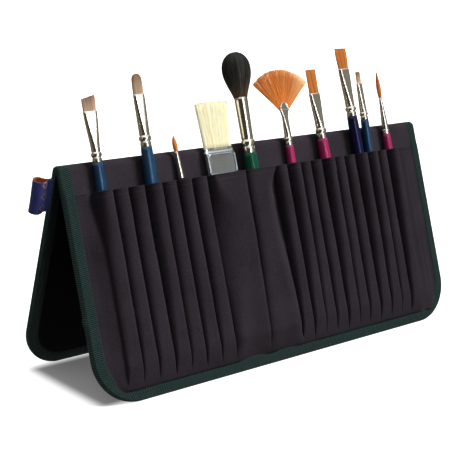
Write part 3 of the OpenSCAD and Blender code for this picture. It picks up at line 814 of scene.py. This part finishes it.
def heights(piece):
    """A brush's heights at the top and the foot of its ferrule, and its handle's diameter."""
    (_, _, tip), (tuft_w, tuft_l, ferrule_l, d) = BRUSHES[piece]
    top = tip - tuft_w + FAN_SINK if piece == "fan" else tip - tuft_l
    return top, top - ferrule_l, d


def to_world(piece, pts):
    """World points from a brush's own frame in millimetres: x across, y to its back, z up its axis."""
    (x, lean, _), (*_, thick) = BRUSHES[piece]
    origin = place(x, MOUTH, FACE + thick / 2 + HANDLE_GAP)
    tilt = math.asin((thick / 2 - HANDLE_END) / HANDLE_DEPTH)
    lean, turn = math.radians(lean), math.radians(TURNS.get(piece, 0))
    across, up, out = np.array([(1, 0, 0), (0, SIN, COS), (0, -COS, SIN)])
    ex = math.cos(lean) * across - math.sin(lean) * up
    axis = math.sin(lean) * across + math.cos(lean) * up
    ez = math.cos(tilt) * axis + math.sin(tilt) * out
    ey = math.sin(tilt) * axis - math.cos(tilt) * out
    x, y, z = np.moveaxis(pts * MM, -1, 0)[..., None]
    x, y = x * math.cos(turn) - y * math.sin(turn), x * math.sin(turn) + y * math.cos(turn)
    return origin + x * ex + y * ey + z * ez


def brush_tubes(name, piece, rings, material, slot, *nodes, shade=None):
    """Part of a brush, as one or more closed tubes through rings of points in the brush's own frame."""
    *count, rows, cols, _ = rings.shape
    obj = add_mesh(name, to_world(piece, rings), tube_faces(rows, cols, *count), material, shade)
    return belongs(obj, piece + "_brush", slot, *nodes)


def loft(name, piece, stations, material, slot, node, count=56):
    """A tube through (height, half width, half thickness) stations, each a flat-sided oval."""
    z, a, b = np.array(stations).T[:, :, None]
    half = np.linspace(-math.pi / 2, math.pi / 2, count // 2, endpoint=False)
    t = np.concatenate([half, half + math.pi])
    flat = np.maximum(a - b, 1e-4) * np.repeat([1, -1], count // 2)
    rings = np.stack([flat + b * np.cos(t), b * np.sin(t), z + 0 * t], -1)
    return brush_tubes(name, piece, rings, material, slot, node)


def crimps(low, r, size):
    """Stations of the collar and the rolled bead at a ferrule's foot."""
    out = [(0.0, 0.95), (0.3, 0.99), (2.0, 1.01), (3.7, 0.98), (4.3, 0.91), (4.8, 0.89)]
    out += [(4.8 + 4.3 * q, 0.89 + 0.25 * math.sin(math.pi * q) ** 0.65) for q in np.linspace(0, 1, 15)]
    out += [(9.4, 0.91), (9.9, 0.965)]
    return [(low + h * size, r * k, r * k) for h, k in out]


def ferrule(piece, size, steps, section, wall=0.4, end=None):
    """A ferrule: crimps, then section(t) as half width and half thickness up to t = 1, then its end,
    which is open round the hair unless stations are given for it."""
    top, low, d = heights(piece)
    stations = crimps(low, d * COLLAR, size)
    z0 = stations[-1][0]
    stations += [(z0 + (top - z0) * t, *section(t)) for t in np.arange(1, steps + 1) / steps]
    _, a, b = stations[-1]
    stations += end or [(top + up, a - cut, b - cut)
                        for up, cut in ((0.05, 0.12), (0, wall), (-1.6, wall + 0.05))]
    loft(piece + "_metal", piece, stations, MATS["metal"], "ferrule", piece + "_ferrule")


def strands(piece, lines, radius, hair, shade, taper=0.35):
    """Hair: one thin three-sided tapering strand along each line (strand, point, xyz)."""
    t = unit(np.gradient(lines, axis=1))
    a = unit(np.cross(t, [0.0, 1.0, 0.0]))
    b = np.cross(t, a)
    spin = rng.uniform(0, 2 * math.pi, len(lines))
    angle = (spin[:, None] + np.arange(3) * 2 * math.pi / 3)[:, None, :, None]
    thin = (radius * np.linspace(1.0, taper, lines.shape[1]))[:, None, None]
    rings = lines[:, :, None] + thin * (np.cos(angle) * a[:, :, None] + np.sin(angle) * b[:, :, None])
    brush_tubes(piece + "_hair", piece, rings, MATS[hair], HAIR_SLOTS[hair], piece + "_tuft",
                shade=np.repeat(shade[:, :, None], 3, 2))


def tuft_body(piece, rings, hair, middle, fade=0.0):
    """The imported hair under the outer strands, closed at both ends, with lengthwise streaks of tone."""
    rings = np.array(rings)
    rows, count = rings.shape[:2]
    tone = middle + 0.25 * ripple(np.arange(count) * 1.7, count + rows, 1.0)
    tone = tone + fade * (0.5 - np.linspace(0, 1, rows)[:, None])
    brush_tubes(piece + "_hair_core", piece, rings, MATS[hair], HAIR_SLOTS[hair], shade=np.clip(tone, 0, 1))


def flat_hair(piece, root_w, root_t, tip_w, tip_t, top, count, radius, hair, spread, fade):
    """A flat tuft. top(u) gives each strand's length share across the width, u from -1 to 1."""
    low, length = heights(piece)[0], BRUSHES[piece][1][1]
    u = rng.uniform(-1, 1, count)
    outer = rng.uniform(0, 1, count) < 0.35
    v = np.sign(rng.uniform(-1, 1, count)) * np.where(outer, rng.uniform(0.97, 1.03, count),
                                                      rng.uniform(0.2, 0.85, count))
    steps = np.linspace(0, 1, 8)
    long = length * np.array([top(x) for x in u]) * (1 - 0.03 * rng.uniform(0, 1, count) ** 2)
    u, v, long = u[:, None], v[:, None], long[:, None]

    def half_width(t):
        return root_w / 2 + (tip_w - root_w) / 2 * t ** 1.2 + spread * np.sin(t * math.pi * 0.8)

    def half_thickness(t):
        return root_t / 2 + (tip_t - root_t) / 2 * t

    x = u * half_width(steps) + rng.normal(0, 0.06, (count, 1)) * steps
    y = v * half_thickness(steps) * np.sqrt(1 - np.abs(u) ** 2.6)
    z = low - SUNK + (long + SUNK) * steps
    streak = 0.2 * ripple(u * 14, len(piece) * 7, 1.0)
    shade = np.clip(rng.normal(0.5, 0.16, (count, 1)) + streak + fade * (0.5 - steps), 0, 1)
    strands(piece, np.stack([x, y, z], -1), radius, hair, shade)
    # a full body inside the strands, which follows the tuft's outline
    cos, sin = circle(120)
    tops = np.array([top(q) for q in cos])
    rings = []
    for t in (*np.linspace(0, 0.9, 10), 0.95):
        b = half_thickness(t) * (0.96 if t < 0.95 else 0.6)
        rings.append(np.stack([0.98 * half_width(t) * cos, b * np.sign(sin) * np.abs(sin) ** 0.7,
                               low - SUNK + (length * tops + SUNK) * t], -1))
    tuft_body(piece, rings, hair, 0.45, fade)


def round_hair(piece, root_r, belly_r, profile, count, radius, hair, middle=0.42, lighter=lambda t: 0 * t):
    """A round tuft whose outline is belly_r times profile(t); lighter(t) is added to its shade."""
    low, length = heights(piece)[0], BRUSHES[piece][1][1]
    sunk = 1.2
    q = np.sqrt(rng.uniform(0.15, 1, count))
    ang = rng.uniform(0, 2 * math.pi, count)
    steps = 1 - np.linspace(1, 0, 18) ** 1.6
    out = np.array([profile(t) for t in steps]) * belly_r
    out[0] = root_r
    end = 1 - 0.05 * rng.uniform(0, 1, count) ** 2
    t = steps * end[:, None]
    r = np.interp(t, steps, out) * q[:, None]
    wobble = ang[:, None] + rng.normal(0, 0.05, (count, 1)) * steps
    pts = np.stack([r * np.cos(wobble), r * np.sin(wobble), low - sunk + (length + sunk) * t], -1)
    shade = np.clip(rng.normal(0.5, 0.2, (count, 1)) + 0.3 * (0.5 - steps), 0, 1)
    strands(piece, pts, radius, hair, np.clip(shade + lighter(steps), 0, 1))
    cos, sin = circle(96)
    rings = []
    for t in np.linspace(0, 0.97, 18):
        r = max(np.interp(t, steps, out) * 0.95, 0.05)
        rings.append(np.stack([r * cos, r * sin, low - sunk + (length + sunk) * t + 0 * cos], -1))
    tuft_body(piece, rings, hair, middle)


def leaf(t, root, belly, sharp, swell=1, blunt=1):
    """Outline of a round tuft: a slim root, a belly, and a point."""
    if t < belly:
        return root + (1 - root) * math.sin(t / belly * math.pi / 2) ** swell
    return max(1 - ((t - belly) / (1 - belly)) ** sharp, 0) ** blunt


for piece, size, width, thick in (("shader", 0.85, 10.6, 3.6), ("filbert", 0.95, 9.0, 4.0),
                                  ("flat", 1.0, 11.4, 3.8), ("bright", 0.95, 11.6, 4.0),
                                  ("wash", 0.72, 6.4, 3.2)):
    r, a, b = 0.96 * COLLAR * heights(piece)[2], width / 2, thick / 2
    ferrule(piece, size, 24, lambda t: (r + (a - r) * ease(t ** 0.9), r + (b - r) * t ** 0.8))
for piece, size, a in (("round", 0.4, 1.45), ("mop", 1.2, 5.5), ("liner", 0.45, 1.35)):
    r = 0.96 * COLLAR * heights(piece)[2]
    ferrule(piece, size, 12, lambda t: (r + (a - r) * t,) * 2, 0.35)

for tuft in (
        ("shader", 10.0, 3.2, 10.6, 1.3, lambda u: 0.9 + 0.1 * u, 560, 0.085, "taupe", 0.15, 0.6),
        ("filbert", 8.3, 3.4, 7.6, 1.6, lambda u: 0.7 + 0.3 * math.sqrt(max(1 - abs(u) ** 2.3, 0)), 560,
         0.085, "taupe", 0.35, 0.65),
        ("flat", 10.8, 3.2, 11.6, 1.1, lambda u: 1.0, 560, 0.085, "amber", 0.1, 0.1),
        ("bright", 10.9, 3.3, 12.0, 1.2, lambda u: 1.0 - 0.01 * u, 680, 0.085, "amber", 1.1, 0.1),
        ("wash", 5.9, 2.6, 6.2, 1.0, lambda u: 1.0, 340, 0.08, "taupe", 0.0, 1.0)):
    flat_hair(*tuft)
round_hair("round", 1.4, 2.0, lambda t: leaf(t, 0.75, 0.4, 1.9), 220, 0.075, "fan")
round_hair("liner", 1.25, 2.15, lambda t: leaf(t, 0.62, 0.38, 1.35), 240, 0.08, "fan")
round_hair("mop", 5.4, 11.8, lambda t: leaf(t, 0.465, 0.62, 2.2, 1.35, 0.5), 3000, 0.11, "dark", 0.3,
           lambda t: np.clip(0.42 - 1.1 * t, -0.12, 0.42))


def fan_brush():
    """The fan: a ferrule with a domed lip, and hair in an arc from a centre below the lip."""
    (_, _, tip), (reach, spread, _, _) = BRUSHES["fan"]
    lip, _, d = heights("fan")
    root, neck = 4.4, 0.40 * d
    dome = [(lip + 6.6 * math.sin(q), max(root * math.cos(q), 0.3), 0.95)
            for q in np.arange(1, 9) / 8 * math.pi / 2]
    ferrule("fan", 0.75, 21, lambda t: (neck + (root - neck) * ease((t - 0.72) / 0.28),
                                        neck + (1.35 - neck) * ease(t * 1.1)), end=dome)
    # raised rim round the dome
    q = np.linspace(0, math.pi, 33)
    over = np.stack([root * np.cos(q), np.full(33, -1.0), lip + 0.6 + 5.9 * np.sin(q)], -1)
    under = np.stack([root * np.linspace(-1, 1, 19), np.full(19, -1.35), np.full(19, lip + 0.6)], -1)[1:-1]
    rim = to_world("fan", np.concatenate([over, under]))
    belongs(tube("fan_metal_rim", rim, 0.00062, 10, MATS["metal"]), "fan_brush", "ferrule")
    count = 1500
    spread = math.radians(spread)
    angle = spread * rng.uniform(-1, 1, count)[:, None]
    layer = rng.uniform(-1, 1, count)[:, None]
    steps = np.linspace(0, 1, 8)
    start = FAN_SINK / np.cos(angle) - 1.0
    long = reach * (1 + 0.04 * (angle / spread) ** 2) * (1 - 0.05 * rng.uniform(0, 1, (count, 1)) ** 2)
    r = start + (long - start) * steps
    bend = angle * (0.97 + 0.03 * steps) + rng.normal(0, 0.012, (count, 1)) * steps
    y = layer * (0.55 + 0.35 * steps) * 0.8
    pts = np.stack([r * np.sin(bend), y, tip - reach + r * np.cos(bend)], -1)
    # painted light: the tips on the right, where light comes through the thin hair, are painted lighter; also
    # lighter in one streak on the left
    across = angle / spread
    shade = np.clip(rng.normal(0.42, 0.15, (count, 1)) + 0.5 * np.clip(across, 0, 1) * steps ** 1.5
                    + 0.25 * np.exp(-((across + 0.62) / 0.08) ** 2) * steps + 0.15 * steps ** 4, 0, 1)
    strands("fan", pts, 0.1, "fan", shade, 0.9)


def hake_brush():
    """The hake: a folded steel ferrule with pressed ribs, and a wide tuft of pale bristle."""
    top, low, thick = heights("hake")
    tuft_l = BRUSHES["hake"][1][1]
    a, b = 14.6, thick / 2
    turn = np.linspace(0, 2 * math.pi, 96, endpoint=False)
    oval_x = np.sign(np.cos(turn)) * np.abs(np.cos(turn)) ** 0.32
    oval_y = np.sign(np.sin(turn)) * np.abs(np.sin(turn)) ** 0.55
    # heights and how far the wall is drawn in there
    levels = [(low, 0.6), (low + 0.15, 0.1), (low + 0.6, 0.0), (low + 1.0, 0.25), (low + 1.4, 0.3)]
    levels += [(z, 0.3) for z in np.linspace(low + 3, top - 6, 9)]
    levels += [(top + up, cut) for up, cut in (
        (-4.9, 0.3), (-4.6, 0.0), (-4.2, -0.25), (-3.6, -0.25), (-3.2, 0.0), (-2.9, 0.35), (-0.5, 0.35),
        (-0.2, 0.1), (0, 0.1), (0.1, 0.4), (-1.4, 0.8))]
    # the back is set in a little, clear of the fold when the case is opened
    back = np.where(oval_y > 0, 0.85, 0.0)
    rings = np.stack([np.stack([oval_x * (a - cut), oval_y * (b - cut - back), z + 0 * turn], -1)
                      for z, cut in levels])
    brush_tubes("hake_metal", "hake", rings, MATS["steel"], "hake_ferrule", "hake_ferrule")
    # pressed ribs that frame the front face
    wide, face = a - 1.0, -0.05 - b
    for label, start, end, radius in (("top", (-wide, top - 5.3), (wide, top - 5.3), 0.8),
                                      ("foot", (-wide, low + 1.3), (wide, low + 1.3), 0.75),
                                      ("left", (-wide, low + 1.1), (-wide, top - 5.3), 0.6),
                                      ("right", (wide, low + 1.1), (wide, top - 5.3), 0.6)):
        x, z = np.linspace(start, end, 9).T
        line = to_world("hake", np.stack([x, np.full(9, face), z], -1))
        rib = tube("hake_metal_rib_" + label, line, radius * MM, 12, MATS["steel"])
        belongs(rib, "hake_brush", "hake_ferrule")
    count = 1900
    u = rng.uniform(-1, 1, count)[:, None]
    v = np.sign(rng.uniform(-1, 1, count)) * np.where(
        rng.uniform(0, 1, count) < 0.3, rng.uniform(0.96, 1.03, count), rng.uniform(0.2, 0.85, count))
    steps = np.linspace(0, 1, 9)
    long = tuft_l * (1 - 0.05 * rng.uniform(0, 1, (count, 1)) ** 1.5 - 0.02 * np.abs(u) ** 4)
    stray = rng.normal(0, 0.3, (count, 1))
    rate, phase = rng.uniform(2, 6, (count, 1)), rng.uniform(0, 6, (count, 1))
    root, lean = 13.6, 1.2               # half the tuft's width at its root; its lean to the right
    x = (u * (root + 3.2 * steps ** 1.1) + lean * steps + stray * steps ** 2
         + 0.15 * np.sin(steps * rate + phase) * steps)
    y = v[:, None] * (2.6 - 0.5 * steps) * np.sqrt(1 - np.abs(u) ** 4)
    y = y + rng.normal(0, 0.12, (count, 1)) * steps ** 2
    shade = np.clip(rng.normal(0.7, 0.2, (count, 1)) + 0.2 * (steps - 0.3), 0, 1)
    strands("hake", np.stack([x, y, top - SUNK + (long + SUNK) * steps], -1), 0.15, "cream", shade, 0.6)
    cos, sin = (np.sign(c) * np.abs(c) ** 0.6 for c in circle(160))
    rings = [np.stack([(root + 3.0 * t ** 1.1) * 0.98 * cos + lean * t, (2.6 - 0.5 * t) * 0.97 * sin,
                       top - SUNK + tuft_l * 0.95 * t + 0 * cos], -1) for t in np.linspace(0, 1, 9)]
    tuft_body("hake", rings, "cream", 0.62)


fan_brush()
hake_brush()


# turned wooden handles: a short belly under the ferrule, then a long taper to a round end
BELLY, LOW = 0.16, -HANDLE_DEPTH
for piece, paint in {"shader": "blue", "filbert": "blue", "round": "blue", "mop": "green", "fan": "magenta",
                     "flat": "magenta", "bright": "navy", "wash": "blue", "liner": "magenta"}.items():
    _, top, d = heights(piece)
    stations = [(top + 2.5, 0.3 * d, 0.3 * d), (top, 0.3 * d, 0.3 * d)]
    for t in (*np.linspace(0, BELLY, 9)[:-1], *np.linspace(BELLY, 1, 34)):
        if t < BELLY:
            r = d / 2 * (0.88 + 0.12 * math.sin(math.pi / 2 * t / BELLY))
        else:
            r = HANDLE_END + (d / 2 - HANDLE_END) * (1 - ((t - BELLY) / (1 - BELLY)) ** 1.15)
        stations.append((top - t * (top - LOW), r, r))
    for a in np.linspace(0, math.pi / 2, 8)[1:]:
        r = max(HANDLE_END * math.cos(a), 0.1)
        stations.append((LOW - 0.7 * HANDLE_END * math.sin(a), r, r))
    loft(piece + "_lacquered_handle", piece, stations[::-1], MATS[paint], paint + "_lacquer",
         piece + "_handle", 64)

# ---------- CAD nodes that stay ----------
for node, paint in (("front_board", "board"), ("back_board", "board"), ("hake_handle", "wood")):
    mesh = frame["nodes"][node].data
    mesh.materials.clear()
    mesh.materials.append(MATS[paint])
    mesh.polygons.foreach_set("material_index", np.zeros(len(mesh.polygons), np.int32))

size = {"cad": [list(CAD_BOX[0]), list(CAD_BOX[1])], "visual": [list(v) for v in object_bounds()]}
